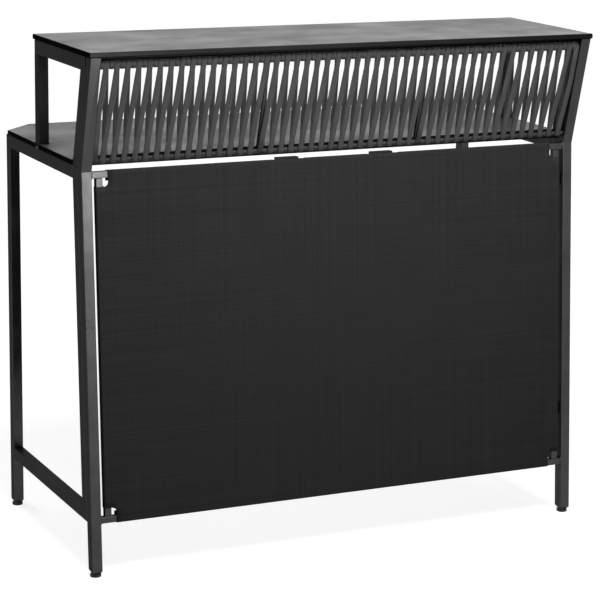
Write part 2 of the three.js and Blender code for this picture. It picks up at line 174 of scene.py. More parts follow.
class Graph:
    """Adds nodes to one shader tree and wires them."""

    def __init__(self, tree: bpy.types.NodeTree) -> None:
        """Holds the tree that nodes are added to."""
        self.tree = tree

    def add(
        self, kind: str, inputs: dict[str | int, object] | None = None, **settings: object
    ) -> bpy.types.Node:
        """Adds a node.

        Args:
            kind: the node's type name without its prefix.
            inputs: sockets to link, or values to set, by name or number.
            settings: the node's own properties.

        Returns:
            The new node.
        """
        node = self.tree.nodes.new("ShaderNode" + kind)
        for key, value in settings.items():
            setattr(node, key, value)
        for key, value in (inputs or {}).items():
            if isinstance(value, bpy.types.NodeSocket):
                self.tree.links.new(value, node.inputs[key])
            else:
                node.inputs[key].default_value = value
        return node

    def math(self, operation: str, *values: object) -> bpy.types.NodeSocket:
        """Adds a Math node and returns its result."""
        return self.add("Math", dict(enumerate(values)), operation=operation).outputs[0]

    def noise(
        self, vector: object, pattern: Pattern, scale: bpy.types.NodeSocket | None = None
    ) -> bpy.types.NodeSocket:
        """Adds a Noise texture.

        Args:
            vector: where the pattern lies.
            pattern: the pattern.
            scale: a factor on the pattern's own scale.

        Returns:
            The noise value.
        """
        size = pattern.scale if scale is None else self.math("MULTIPLY", scale, pattern.scale)
        inputs = {"Vector": vector, "Scale": size, "Detail": pattern.detail, "Roughness": pattern.rough}
        return self.add("TexNoise", inputs).outputs["Fac"]

    def stretch(self, vector: object, scale: tuple[float, float, float]) -> bpy.types.NodeSocket:
        """Adds a Mapping node that scales a vector and returns the result."""
        return self.add("Mapping", {"Vector": vector, "Scale": scale}).outputs[0]

    def span(self, value: object, spread: Spread) -> bpy.types.NodeSocket:
        """Adds a clamped Map Range node.

        Args:
            value: the value to map.
            spread: its range and the range that it is mapped to.

        Returns:
            The mapped value.
        """
        inputs = {"Value": value, "From Min": spread.low, "From Max": spread.high}
        inputs |= {"To Min": spread.to_low, "To Max": spread.to_high}
        return self.add("MapRange", inputs).outputs[0]

    def blend(self, share: object, first: object, second: object) -> bpy.types.NodeSocket:
        """Adds a colour Mix node.

        Args:
            share: share of the second colour.
            first: a colour or a socket.
            second: a colour or a socket.

        Returns:
            The mixed colour.
        """
        inputs = {"Factor": share, MIX_FIRST: first, MIX_SECOND: second}
        return self.add("Mix", inputs, data_type="RGBA").outputs[MIX_RESULT]


def new_group(
    name: str, inputs: dict[str, str], outputs: dict[str, str]
) -> tuple[bpy.types.NodeTree, Graph, bpy.types.Node, bpy.types.Node]:
    """Starts a shader node group.

    Args:
        name: the group's name.
        inputs: socket type by name.
        outputs: socket type by name.

    Returns:
        The tree, its graph, its input node and its output node.
    """
    tree = bpy.data.node_groups.new(name, "ShaderNodeTree")
    for way, sockets in (("INPUT", inputs), ("OUTPUT", outputs)):
        for label, kind in sockets.items():
            tree.interface.new_socket(name=label, in_out=way, socket_type="NodeSocket" + kind)
    entry = tree.nodes.new("NodeGroupInput")
    leave = tree.nodes.new("NodeGroupOutput")
    return tree, Graph(tree), entry, leave


@dataclass
class Effects:
    """Shader node groups that several finishes share, each built once.

    Scales of patterns are per metre, or factors where the group has a scale of its own. The edge
    turn is the cosine between the flat and the rounded normal.
    """

    ray_samples: int = 6
    edge_turn: Spread = Spread(0.995, 0.86)
    wear_breaks: Pattern = Pattern(95.0, 5.0, 0.6)
    wear_left: Spread = Spread(0.42, 0.66, 0.15)
    clouds: tuple[Pattern, ...] = (
        Pattern(1.0, 3.0, 0.5, 0.42),
        Pattern(4.3, 5.0, 0.6, 0.43),
        Pattern(31.0, 2.0, 0.5, 0.15),
    )
    cloud_tone: Spread = Spread(0.34, 0.66)
    skin_grain: Pattern = Pattern(1.0, 2.0, 0.5)
    gloss_patches: Pattern = Pattern(0.02, 3.0, 0.5)
    slubs: Pattern = Pattern(1.0, 3.0, 0.6, 0.88)
    slubs_across: float = 240.0
    slubs_along: float = 0.6
    blots: Pattern = Pattern(9.0, 3.0, 0.5, 0.12)
    weave_tone: Spread = Spread(0.36, 0.64)
    chevron_slope: float = 0.9
    spine_width: Spread = Spread(0.0, 0.18)
    spine_height: float = 0.4
    ridge_tone: Spread = Spread(0.0, 0.7, 0.35)
    fibres: Pattern = Pattern(1400.0, 2.0, 0.6)
    fibre_tone: Spread = Spread(0.25, 0.75, 0.7)
    fading: Pattern = Pattern(24.0, 3.0, 0.55)
    faded_tone: Spread = Spread(0.35, 0.65, 0.82)
    open_space: Spread = Spread(0.2, 0.6)

    def __post_init__(self) -> None:
        """Builds every group."""
        self.edge = self._edge_wear()
        self.cloud = self._clouding()
        self.peel = self._peel()
        self.weave = self._weave()
        self.braid = self._braid()
        self.slit_shade = self._slit_shade()

    def _edge_wear(self) -> bpy.types.NodeTree:
        """Rounded normal at edges, and a broken mask where handling polishes them.

        Returns:
            The node group.
        """
        tree, graph, entry, leave = new_group(
            "edge_wear",
            {"Radius": "Float", "Amount": "Float"},
            {"Mask": "Float", "Normal": "Vector"},
        )
        bevel = graph.add("Bevel", {"Radius": entry.outputs["Radius"]}, samples=self.ray_samples)
        flat = graph.add("NewGeometry")
        normals = {0: bevel.outputs[0], 1: flat.outputs["Normal"]}
        aligned = graph.add("VectorMath", normals, operation="DOT_PRODUCT")
        turned = graph.span(aligned.outputs["Value"], self.edge_turn)
        place = graph.add("TexCoord").outputs["Object"]
        broken = graph.span(graph.noise(place, self.wear_breaks), self.wear_left)
        mask = graph.math("MULTIPLY", graph.math("MULTIPLY", turned, broken), entry.outputs["Amount"])
        tree.links.new(mask, leave.inputs["Mask"])
        tree.links.new(bevel.outputs[0], leave.inputs["Normal"])
        return tree

    def _clouding(self) -> bpy.types.NodeTree:
        """Soft mottling at three scales.

        Returns:
            The node group.
        """
        tree, graph, entry, leave = new_group(
            "clouding",
            {"Vector": "Vector", "Scale": "Float"},
            {"Tone": "Float"},
        )
        vector, scale = entry.outputs["Vector"], entry.outputs["Scale"]
        total: object = 0.0
        for pattern in self.clouds:
            layer = graph.math("MULTIPLY", graph.noise(vector, pattern, scale), pattern.weight)
            total = graph.math("ADD", total, layer)
        tree.links.new(graph.span(total, self.cloud_tone), leave.inputs["Tone"])
        return tree

    def _peel(self) -> bpy.types.NodeTree:
        """Fine grain of a sprayed or moulded skin, as a height and a gloss share.

        Returns:
            The node group.
        """
        tree, graph, entry, leave = new_group(
            "skin_grain",
            {"Scale": "Float"},
            {"Height": "Float", "Gloss": "Float"},
        )
        place = graph.add("TexCoord").outputs["Object"]
        grain = graph.noise(place, self.skin_grain, entry.outputs["Scale"])
        patch = graph.noise(place, self.gloss_patches, entry.outputs["Scale"])
        tree.links.new(grain, leave.inputs["Height"])
        tree.links.new(patch, leave.inputs["Gloss"])
        return tree

    def _weave(self) -> bpy.types.NodeTree:
        """Plain weave of round yarns on a flat sheet, with thick and thin yarns.

        Returns:
            The node group.
        """
        tree, graph, entry, leave = new_group(
            "plain_weave",
            {"Vector": "Vector", "Yarn": "Float"},
            {"Height": "Float", "Tone": "Float"},
        )
        axes = graph.add("SeparateXYZ", {"Vector": entry.outputs["Vector"]}).outputs
        counts = [graph.math("DIVIDE", axes[i], entry.outputs["Yarn"]) for i in (0, 1)]
        rows = [graph.math("FLOOR", c) for c in counts]
        waves = [graph.math("SINE", graph.math("MULTIPLY", c, math.pi)) for c in counts]
        rounds = [graph.math("ABSOLUTE", wave) for wave in waves]
        parity = graph.math("MODULO", graph.math("ABSOLUTE", graph.math("ADD", rows[0], rows[1])), 2.0)
        over = graph.math("GREATER_THAN", parity, 0.5)
        warp = graph.math("MULTIPLY", over, rounds[0])
        weft = graph.math("MULTIPLY", graph.math("SUBTRACT", 1.0, over), rounds[1])
        tree.links.new(graph.math("ADD", warp, weft), leave.inputs["Height"])
        flat = entry.outputs["Vector"]
        slubs = []
        for u, v in ((self.slubs_along, self.slubs_across), (self.slubs_across, self.slubs_along)):
            slubs.append(graph.noise(graph.stretch(flat, (u, v, 1.0)), self.slubs))
        mean = graph.math("MULTIPLY", graph.math("ADD", slubs[0], slubs[1]), 0.5)
        streak = graph.math("MULTIPLY", mean, self.slubs.weight)
        blot = graph.math("MULTIPLY", graph.noise(flat, self.blots), self.blots.weight)
        tone = graph.span(graph.math("ADD", streak, blot), self.weave_tone)
        tree.links.new(tone, leave.inputs["Tone"])
        return tree

    def _braid(self) -> bpy.types.NodeTree:
        """Chevrons of a flat braid from the strand's own along and across values.

        Returns:
            The node group.
        """
        tree, graph, entry, leave = new_group(
            "flat_braid",
            {"Along": "Float", "Across": "Float", "Pitch": "Float"},
            {"Height": "Float", "Tone": "Float"},
        )
        side = graph.math("ABSOLUTE", entry.outputs["Across"])
        step = graph.math("DIVIDE", entry.outputs["Along"], entry.outputs["Pitch"])
        chevron = graph.math("ADD", step, graph.math("MULTIPLY", side, self.chevron_slope))
        ridge = graph.math("ABSOLUTE", graph.math("SINE", graph.math("MULTIPLY", chevron, math.pi)))
        spine = graph.math("ADD", self.spine_height, graph.span(side, self.spine_width))
        tree.links.new(graph.math("MULTIPLY", ridge, spine), leave.inputs["Height"])
        place = graph.add("TexCoord").outputs["Object"]
        furry = graph.span(graph.noise(place, self.fibres), self.fibre_tone)
        faded = graph.span(graph.noise(place, self.fading), self.faded_tone)
        lit = graph.math("MULTIPLY", graph.span(ridge, self.ridge_tone), furry)
        tree.links.new(graph.math("MULTIPLY", lit, faded), leave.inputs["Tone"])
        return tree

    def _slit_shade(self) -> bpy.types.NodeTree:
        """Share of open space in front of a surface, low in slits, where shade is painted into the
        colour.

        Returns:
            The node group.
        """
        tree, graph, entry, leave = new_group("slit_shade", {"Reach": "Float"}, {"Open": "Float"})
        reach = {"Distance": entry.outputs["Reach"]}
        near = graph.add("AmbientOcclusion", reach, samples=self.ray_samples)
        tree.links.new(graph.span(near.outputs["AO"], self.open_space), leave.inputs["Open"])
        return tree


# Near-black painted shade, for slits and for the tops of the lower rope wraps.
PAINTED_SHADE = grey(4)


@dataclass(frozen=True)
class Finish:
    """A surface finish: the two ends of its colour, its gloss, and how far into slits painted shade
    reaches.
    """

    name: str
    dark: tuple[float, float, float, float]
    light: tuple[float, float, float, float]
    roughness: float
    metallic: float = 0.0
    specular: float = 0.5
    sheen: float = 0.0
    edge_tint: float = 1.0
    # Reach of the ambient occlusion that paints shade into slits; 0 paints none.
    slit_shade_reach: float = 0.0

    def start(self) -> tuple[bpy.types.Material, Graph, bpy.types.Node]:
        """Makes the material with its shader.

        Returns:
            The material, its graph and its Principled node.
        """
        material = bpy.data.materials.new(self.name)
        material.use_nodes = True
        graph = Graph(material.node_tree)
        shader = material.node_tree.nodes["Principled BSDF"]
        shader.inputs["Roughness"].default_value = self.roughness
        shader.inputs["Metallic"].default_value = self.metallic
        shader.inputs["Specular IOR Level"].default_value = self.specular
        shader.inputs["Sheen Weight"].default_value = self.sheen
        shader.inputs["Specular Tint"].default_value = (self.edge_tint,) * 3 + (1.0,)
        return material, graph, shader

    def close(
        self,
        effects: Effects,
        graph: Graph,
        shader: bpy.types.Node,
        tone: bpy.types.NodeSocket,
        height: bpy.types.NodeSocket,
        depth: float,
        normal: bpy.types.NodeSocket | None = None,
    ) -> None:
        """Wires colour and relief into the shader.

        Args:
            effects: the shared node groups.
            graph: the material's graph.
            shader: its Principled node.
            tone: share of the light colour over the surface.
            height: relief over the surface.
            depth: the relief's real depth.
            normal: normal that the relief starts from.
        """
        colour = graph.blend(tone, self.dark, self.light)
        # Painted shade: ambient occlusion darkens the colour towards near black in slits.
        if self.slit_shade_reach > 0.0:
            slit_shade = graph.add("Group", {"Reach": self.slit_shade_reach}, node_tree=effects.slit_shade)
            colour = graph.blend(slit_shade.outputs["Open"], PAINTED_SHADE, colour)
        graph.tree.links.new(colour, shader.inputs["Base Color"])
        inputs = {"Height": height, "Distance": depth, "Strength": 1.0}
        if normal is not None:
            inputs["Normal"] = normal
        graph.tree.links.new(graph.add("Bump", inputs).outputs[0], shader.inputs["Normal"])


@dataclass(frozen=True)
class HardFinish(Finish):
    """Sprayed, moulded or laminated skin with worn edges."""

    grain_scale: float = 900.0
    grain_depth: float = 0.03 * MM
    cloud_scale: float = 5.0
    cloud_stretch: tuple[float, float, float] = (1.0, 1.0, 1.0)
    edge_radius: float = 1.4 * MM
    wear: float = 0.3
    gloss_swing: float = 0.08
    gloss_noise: tuple[float, float] = (0.3, 0.7)
    level_faces: Spread = Spread(0.8, 0.95)
    core: tuple[float, float, float, float] | None = None

    def build(self, effects: Effects) -> bpy.types.Material:
        """Makes the material.

        Args:
            effects: the shared node groups.

        Returns:
            The finished material.
        """
        material, graph, shader = self.start()
        handled = {"Radius": self.edge_radius, "Amount": self.wear}
        edge = graph.add("Group", handled, node_tree=effects.edge)
        peel = graph.add("Group", {"Scale": self.grain_scale}, node_tree=effects.peel)
        place = graph.stretch(graph.add("TexCoord").outputs["Object"], self.cloud_stretch)
        mottled = {"Vector": place, "Scale": self.cloud_scale}
        cloud = graph.add("Group", mottled, node_tree=effects.cloud)
        tone = graph.math("MAXIMUM", cloud.outputs["Tone"], edge.outputs["Mask"])
        low, high = self.roughness - self.gloss_swing, self.roughness + self.gloss_swing
        gloss = graph.span(peel.outputs["Gloss"], Spread(*self.gloss_noise, low, high))
        graph.tree.links.new(gloss, shader.inputs["Roughness"])
        height, normal = peel.outputs["Height"], edge.outputs["Normal"]
        self.close(effects, graph, shader, tone, height, self.grain_depth, normal)
        if self.core is not None:
            self.bare_edges(graph, shader)
        return material

    def bare_edges(self, graph: Graph, shader: bpy.types.Node) -> None:
        """Shows a board's dark, burnished core on every face that isn't level.

        Args:
            graph: the material's graph.
            shader: its Principled node.
        """
        skin = shader.inputs["Base Color"].links[0].from_socket
        normal = graph.add("TexCoord").outputs["Normal"]
        facing = graph.add("SeparateXYZ", {"Vector": normal}).outputs["Z"]
        level = graph.span(graph.math("ABSOLUTE", facing), self.level_faces)
        graph.tree.links.new(graph.blend(level, self.core, skin), shader.inputs["Base Color"])
        graph.tree.links.new(graph.math("SUBTRACT", 1.0, level), shader.inputs["Metallic"])


@dataclass(frozen=True)
class WovenFinish(Finish):
    """Stretched sling cloth, woven from coated yarn."""

    yarn: float = 1.1 * MM
    depth: float = 0.25 * MM

    def build(self, effects: Effects) -> bpy.types.Material:
        """Makes the material; the weave follows the sheet's own flat map.

        Args:
            effects: the shared node groups.

        Returns:
            The finished material.
        """
        material, graph, shader = self.start()
        flat = graph.add("UVMap", uv_map=SlingPanel.FLAT_MAP).outputs[0]
        weave = graph.add("Group", {"Vector": flat, "Yarn": self.yarn}, node_tree=effects.weave)
        self.close(effects, graph, shader, weave.outputs["Tone"], weave.outputs["Height"], self.depth)
        return material


@dataclass(frozen=True)
class BraidFinish(Finish):
    """Flat braided rope of outdoor yarn, with painted light lifting its inner faces, and optional
    painted shade on top of a rail.
    """

    pitch: float = 4.6 * MM
    depth: float = 0.35 * MM
    # Lighter colour painted on the strands' inner faces: painted light on back strands, whose inner
    # faces are seen from the front.
    painted_lift_dark: tuple[float, float, float, float] = grey(46)
    painted_lift_light: tuple[float, float, float, float] = grey(112)
    painted_lift_share: Spread = Spread(0.0, 0.4)
    # Painted shade on top of a rail, from this far round the wrap.
    shade_from: float | None = None
    shade_fade: float = 1.5 * MM

    def build(self, effects: Effects) -> bpy.types.Material:
        """Makes the material; the braid follows each strand.

        Args:
            effects: the shared node groups.

        Returns:
            The finished material.
        """
        material, graph, shader = self.start()
        labels = (RopePanel.ALONG, RopePanel.ACROSS, RopePanel.INNER)
        along, across, inner = (
            graph.add("Attribute", attribute_name=label).outputs["Fac"] for label in labels
        )
        strand = {"Along": along, "Across": across, "Pitch": self.pitch}
        braid = graph.add("Group", strand, node_tree=effects.braid)
        self.close(effects, graph, shader, braid.outputs["Tone"], braid.outputs["Height"], self.depth)
        # The rope's own colour on outer faces; painted light lifts the inner faces towards a lighter
        # colour.
        worn = shader.inputs["Base Color"].links[0].from_socket
        painted_lift = graph.blend(braid.outputs["Tone"], self.painted_lift_dark, self.painted_lift_light)
        colour = graph.blend(graph.span(inner, self.painted_lift_share), worn, painted_lift)
        # Painted shade: the wrap turns near black above a set distance round the rail.
        if self.shade_from is not None:
            rail_top_shade = graph.span(along, Spread(self.shade_from, self.shade_from + self.shade_fade))
            colour = graph.blend(rail_top_shade, colour, PAINTED_SHADE)
        graph.tree.links.new(colour, shader.inputs["Base Color"])
        return material


COAT = HardFinish(
    "anthracite_coating",
    dark=grey(55),
    light=grey(67),
    roughness=0.34,
    metallic=0.85,
    specular=0.2,
    edge_tint=0.28,
    # Painted shade in slits.
    slit_shade_reach=40.0 * MM,
)
# Copy of the coat, rougher, with a darker colour that is painted shade, for the risers under the bar
# top.
SHADED_COAT = replace(
    COAT, name="shaded_matt_anthracite_coating", dark=grey(40), light=grey(48), roughness=0.55
)
BOARD = HardFinish(
    "slate_laminate",
    dark=grey(38),
    light=grey(86),
    roughness=0.44,
    specular=0.35,
    edge_tint=0.3,
    grain_scale=420.0,
    grain_depth=0.05 * MM,
    cloud_scale=6.0,
    cloud_stretch=(0.6, 1.5, 1.0),
    edge_radius=0.8 * MM,
    wear=0.25,
    gloss_swing=0.1,
    core=grey(24),
)
PLASTIC = HardFinish(
    "black_moulding",
    dark=grey(13),
    light=grey(22),
    roughness=0.5,
    specular=0.3,
    grain_scale=1500.0,
    wear=0.15,
)
HINGE_STEEL = HardFinish(
    "coated_hinge_steel",
    dark=grey(38),
    light=grey(64),
    roughness=0.42,
    metallic=0.85,
    specular=0.2,
    edge_tint=0.35,
    edge_radius=0.6 * MM,
    wear=0.5,
)
CLOTH = WovenFinish(
    "sling_cloth",
    dark=grey(31),
    light=grey(42),
    roughness=0.9,
    specular=0.08,
    sheen=0.02,
    # Painted shade in the slits beside the legs.
    slit_shade_reach=25.0 * MM,
)
BRAID = BraidFinish(
    "braided_rope", dark=grey(28), light=grey(77), roughness=0.85, specular=0.12, sheen=0.05
)
# Rope with painted shade on the tops of the lower rail's wraps.
RAIL_SHADE_BRAID = replace(
    BRAID, name="rail_shaded_braided_rope", specular=0.05, sheen=0.0, shade_from=3.6 * MM
)


@dataclass(frozen=True)
class Lamp:
    """One rectangular lamp: its place, what it faces, its size, power in watts and spread in degrees."""

    name: str
    place: tuple[float, float, float]
    target: tuple[float, float, float]
    size: tuple[float, float]
    power: float
    spread: float = 180.0

    def hang(self) -> None:
        """Adds the lamp to the scene."""
        data = bpy.data.lights.new(self.name, "AREA")
        data.shape = "RECTANGLE"
        data.size, data.size_y = self.size
        data.energy = self.power
        data.spread = math.radians(self.spread)
        lamp = bpy.data.objects.new(self.name, data)
        lamp.location = self.place
        ahead = Vector(self.target) - Vector(self.place)
        lamp.rotation_euler = ahead.to_track_quat("-Z", "Y").to_euler()
        bpy.context.scene.collection.objects.link(lamp)


LAMPS = (
    Lamp(
        "overhead_softbox",
        place=(0.0, -1.05, 2.3),
        target=(0.0, -0.2, 0.75),
        size=(2.0, 1.0),
        power=62.0,
    ),
    Lamp(
        "front_panel",
        place=(0.5, -3.4, 0.98),
        target=(-0.1, -0.3, 1.1),
        size=(1.3, 0.85),
        power=5.6,
        spread=50.0,
    ),
    Lamp(
        "rear_fill",
        place=(-1.6, 2.2, 3.0),
        target=(0.0, 0.1, 0.8),
        size=(1.6, 1.2),
        power=30.0,
    ),
)


@dataclass
class Studio:
    """Camera at the photograph's place, a white backdrop and a pale floor under the lamps."""

    focal_pixels: float = 2263.65
    yaw: float = 25.31
    pitch: float = 13.06
    roll: float = 0.93
    eye: tuple[float, float, float] = (-2.10876, -4.51805, 1.64149)
    far_clip: float = 100.0
    floor_size: float = 30.0
    floor_albedo: float = 0.4
    floor_glow: tuple[float, float] = (0.84, 0.97)
    glow_reach: tuple[float, float] = (1.0, 3.0)
    ambient: float = 0.1

    def build(self) -> None:
        """Sets up everything around the object."""
        scene = bpy.context.scene
        scene.view_settings.view_transform = "Standard"
        self.camera()
        self.floor()
        self.world()
        for lamp in LAMPS:
            lamp.hang()

    def camera(self) -> None:
        """Makes the camera and sets it as the scene's."""
        yaw, pitch, roll = (math.radians(a) for a in (self.yaw, self.pitch, self.roll))
        level_ahead = Vector((math.sin(yaw), math.cos(yaw), 0.0))
        ahead = level_ahead * math.cos(pitch) - Vector((0.0, 0.0, math.sin(pitch)))
        level = Vector((math.cos(yaw), -math.sin(yaw), 0.0))
        upright = level.cross(ahead)
        right = level * math.cos(roll) + upright * math.sin(roll)
        above = right.cross(ahead)
        data = bpy.data.cameras.new("photo_camera")
        data.sensor_width = SENSOR_WIDTH
        data.lens = self.focal_pixels * SENSOR_WIDTH / IMAGE_SIZE
        data.clip_end = self.far_clip
        camera = bpy.data.objects.new("photo_camera", data)
        turn = Matrix((right, above, -ahead)).transposed().to_4x4()
        camera.matrix_world = Matrix.Translation(self.eye) @ turn
        bpy.context.scene.collection.objects.link(camera)
        bpy.context.scene.camera = camera

    def seen(self, graph: Graph) -> bpy.types.NodeSocket:
        """Picks the rays that show the background: camera, glossy and transmission rays.

        Args:
            graph: the graph to add to.

        Returns:
            1 for those rays and 0 for others.
        """
        path = graph.add("LightPath").outputs
        glossy = graph.math("MAXIMUM", path["Is Glossy Ray"], path["Is Transmission Ray"])
        return graph.math("MAXIMUM", path["Is Camera Ray"], glossy)

    def floor(self) -> None:
        """Makes a pale floor that stays white around the object's shadow."""
        bm = bmesh.new()
        bmesh.ops.create_grid(bm, x_segments=1, y_segments=1, size=self.floor_size / 2.0)
        floor = object_from("studio_floor", bm)
        material = bpy.data.materials.new("pale_floor")
        material.use_nodes = True
        graph = Graph(material.node_tree)
        material.node_tree.nodes.remove(material.node_tree.nodes["Principled BSDF"])
        matt = graph.add("BsdfDiffuse", {"Color": (self.floor_albedo,) * 3 + (1.0,)})
        away = graph.add("VectorMath", {0: graph.add("TexCoord").outputs["Object"]}, operation="LENGTH")
        level = graph.span(away.outputs["Value"], Spread(*self.glow_reach, *self.floor_glow))
        glow = graph.add("Emission", {"Strength": graph.math("MULTIPLY", self.seen(graph), level)})
        both = graph.add("AddShader", {0: matt.outputs[0], 1: glow.outputs[0]})
        surface = material.node_tree.nodes["Material Output"].inputs["Surface"]
        material.node_tree.links.new(both.outputs[0], surface)
        dress(floor, material)

    def world(self) -> None:
        """Makes a white backdrop that lights the object as a plain grey room."""
        world = bpy.data.worlds.new("studio_world")
        bpy.context.scene.world = world
        world.use_nodes = True
        graph = Graph(world.node_tree)
        strength = graph.span(self.seen(graph), Spread(0.0, 1.0, self.ambient))
        backdrop = world.node_tree.nodes["Background"]
        backdrop.inputs["Color"].default_value = (1.0, 1.0, 1.0, 1.0)
        world.node_tree.links.new(strength, backdrop.inputs["Strength"])


@dataclass
class RopePanel:
    """Flat braided rope wound over two rails, with filler wraps between strands."""

    ALONG: ClassVar[str] = "along"
    ACROSS: ClassVar[str] = "across"
    INNER: ClassVar[str] = "inner"

    material: bpy.types.Material
    # Rope with painted shade, for the lower rail's wraps.
    rail_shaded: bpy.types.Material
    bay_loops: dict[str, int] = field(
        default_factory=lambda: {"left": 16, "middle": 16, "right": 15}
    )
    strand_width: float = 12.1 * MM
    strand_thickness: float = 3.0 * MM
    clearance: float = 0.6 * MM
    end_gap: float = 0.3 * MM
    first_strand: float = 14.0 * MM
    last_strand: float = 24.0 * MM
    front_advance: float = 15.5 * MM
    over_advance: float = 4.6 * MM
    back_advance: float = 14.3 * MM
    arc_steps: int = 10
    run_steps: int = 6
    section_sides: int = 14
    flatness: float = 0.7
    ring_sides: int = 8
    ring_steps: int = 16
    filler_width: float = 11.2 * MM
    low_filler_sink: float = 2.0 * MM
    bow: float = 0.5 * MM
    seed: int = 11

    def __post_init__(self) -> None:
        """Takes the rails' places from the frame."""
        self.lower = centre("rope_rail_lower")
        self.upper = centre("rope_rail_upper")
        self.rise = (self.upper - self.lower).normalized()
        self.front = X_AXIS.cross(self.rise)
        low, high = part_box("rope_rail_lower")
        self.half_span = (high.x - low.x) / 2.0
        rail_radius = (high.z - low.z) / 2.0
        self.radius = rail_radius + self.clearance + self.strand_thickness / 2.0
        total = sum(self.bay_loops.values())
        self.pitch = (2.0 * self.half_span - self.first_strand - self.last_strand) / (total - 1)
        self.reach = self.half_span - self.strand_width / 2.0 - self.end_gap
        self.random = random.Random(self.seed)

    def build(self) -> None:
        """Builds the winding and the filler wraps of each bay."""
        first = -self.half_span + self.first_strand
        for name, loops in self.bay_loops.items():
            winding = self.winding(f"rope_braid_{name}", first, loops, name == "right")
            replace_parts(fit(winding, FRONT_BODY, self.material), f"rope_winding_{name}")
            tops = [first + i * self.pitch for i in range(loops)]
            first += loops * self.pitch
            over = [(top + self.pitch / 2.0, self.over_advance) for top in tops]
            slip = self.front_advance + self.over_advance + self.back_advance - self.pitch
            under = [(x - self.front_advance, slip) for x, _ in over]
            if name == "left":
                over.append((-self.reach, 0.0))
            elif name == "right":
                over.append((self.reach, 0.0))
                under.append((self.reach, 0.0))
            upper = self.fillers(f"rope_filler_upper_{name}", self.upper, over, 0.0)
            fit(upper, FRONT_BODY, self.material)
            # The lower wraps take the rope with painted shade.
            lower = self.fillers(f"rope_filler_lower_{name}", self.lower, under, self.low_filler_sink)
            fit(lower, FRONT_BODY, self.rail_shaded)

    def at(self, rail: Vector, x: float, angle: float) -> Vector:
        """Point of the strand's centre line beside a rail.

        Args:
            rail: a point on the rail's axis.
            x: place along the rail.
            angle: turn from the front, upwards.

        Returns:
            The point, which may lie past the rail's end.
        """
        return Vector((x, rail.y, rail.z)) + self.out(angle) * self.radius

    def out(self, angle: float) -> Vector:
        """Direction away from a rail's axis, turned from the front upwards."""
        return self.front * math.cos(angle) + self.rise * math.sin(angle)

    def path(self, first: float, loops: int, lead_out: bool) -> list[tuple[Vector, Vector]]:
        """Centre line of a bay's winding, held between the two legs.

        Args:
            first: place of the first front strand at the upper rail.
            loops: number of loops.
            lead_out: whether a front run goes up beside the leg after the last loop.

        Returns:
            Points, each with the direction that faces out of the strand.
        """
        points: list[tuple[Vector, Vector]] = []

        def put(point: Vector, away: Vector) -> None:
            """Adds a point, moved along the rail to where a leg lets it lie."""
            held = max(-self.reach, min(self.reach, point.x))
            points.append((Vector((held, point.y, point.z)), away))

        def arc(rail: Vector, start: float, end: float, begin_x: float, end_x: float) -> None:
            """Goes round a rail while moving along it.

            Args:
                rail: a point on the rail's axis.
                start: first angle, from the front upwards.
                end: last angle.
                begin_x: place along the rail at the first angle.
                end_x: place along the rail at the last angle.
            """
            for i in range(self.arc_steps + 1):
                share = i / self.arc_steps
                angle = start + share * (end - start)
                put(self.at(rail, begin_x + share * (end_x - begin_x), angle), self.out(angle))

        def run(begin: Vector, end: Vector, away: Vector) -> None:
            """Goes from rail to rail, slightly bowed, without the end points.

            Args:
                begin: where the run starts.
                end: where it ends.
                away: direction that faces out of the strand.
            """
            sway = self.random.uniform(-self.bow, self.bow)
            lift = self.random.uniform(0.0, self.bow)
            for i in range(1, self.run_steps):
                share = i / self.run_steps
                belly = math.sin(math.pi * share)
                put(begin.lerp(end, share) + X_AXIS * sway * belly + away * lift * belly, away)

        foot = self.at(self.lower, first - self.front_advance, 0.0)
        put(foot, self.front)
        for loop in range(loops):
            top = first + loop * self.pitch
            over = top + self.over_advance
            back_foot = over + self.back_advance
            next_foot = top + self.pitch - self.front_advance
            run(foot, self.at(self.upper, top, 0.0), self.front)
            arc(self.upper, 0.0, math.pi, top, over)
            back_end = self.at(self.lower, back_foot, math.pi)
            run(self.at(self.upper, over, math.pi), back_end, -self.front)
            foot = self.at(self.lower, next_foot, 0.0)
            if lead_out or loop + 1 < loops:
                arc(self.lower, math.pi, 2.0 * math.pi, back_foot, next_foot)
            else:
                put(back_end, -self.front)
        if lead_out:
            end = self.at(self.upper, first + loops * self.pitch, 0.0)
            run(foot, end, self.front)
            put(end, self.front)
        return points

    def winding(self, name: str, first: float, loops: int, lead_out: bool) -> bpy.types.Object:
        """Extrudes the strand's section along a bay's path.

        Args:
            name: the piece's name.
            first: place of the first front strand at the upper rail.
            loops: number of loops.
            lead_out: whether a front run comes after the last loop.

        Returns:
            The strand.
        """
        bm = bmesh.new()
        along = bm.verts.layers.float.new(self.ALONG)
        across = bm.verts.layers.float.new(self.ACROSS)
        inner = bm.verts.layers.float.new(self.INNER)
        points = self.path(first, loops, lead_out)
        ring = bmesh.ops.create_circle(bm, segments=self.section_sides, radius=1.0)["verts"]
        section = [Vector((v.co.x, v.co.y)) for v in ring]
        edges = list(bm.edges)
        length = 0.0
        for i, (point, away) in enumerate(points):
            if i:
                length += (point - points[i - 1][0]).length
                made = bmesh.ops.extrude_edge_only(bm, edges=edges)["geom"]
                edges = [e for e in made if isinstance(e, bmesh.types.BMEdge)]
                ring = [v for v in made if isinstance(v, bmesh.types.BMVert)]
            for vertex, flat in zip(ring, section):
                flatter = math.copysign(abs(flat.y) ** self.flatness, flat.y)
                offset = X_AXIS * flat.x * self.strand_width / 2.0
                vertex.co = point + offset + away * flatter * self.strand_thickness / 2.0
                vertex[along] = length
                vertex[across] = flat.x
                # Share of the face towards the rail, which the rope's material lifts with painted light.
                vertex[inner] = max(0.0, -flatter)
        bmesh.ops.holes_fill(bm, edges=bm.edges, sides=0)
        bmesh.ops.recalc_face_normals(bm, faces=bm.faces)
        log.info("%s: %.2f m of rope", name, length)
        return object_from(name, bm)

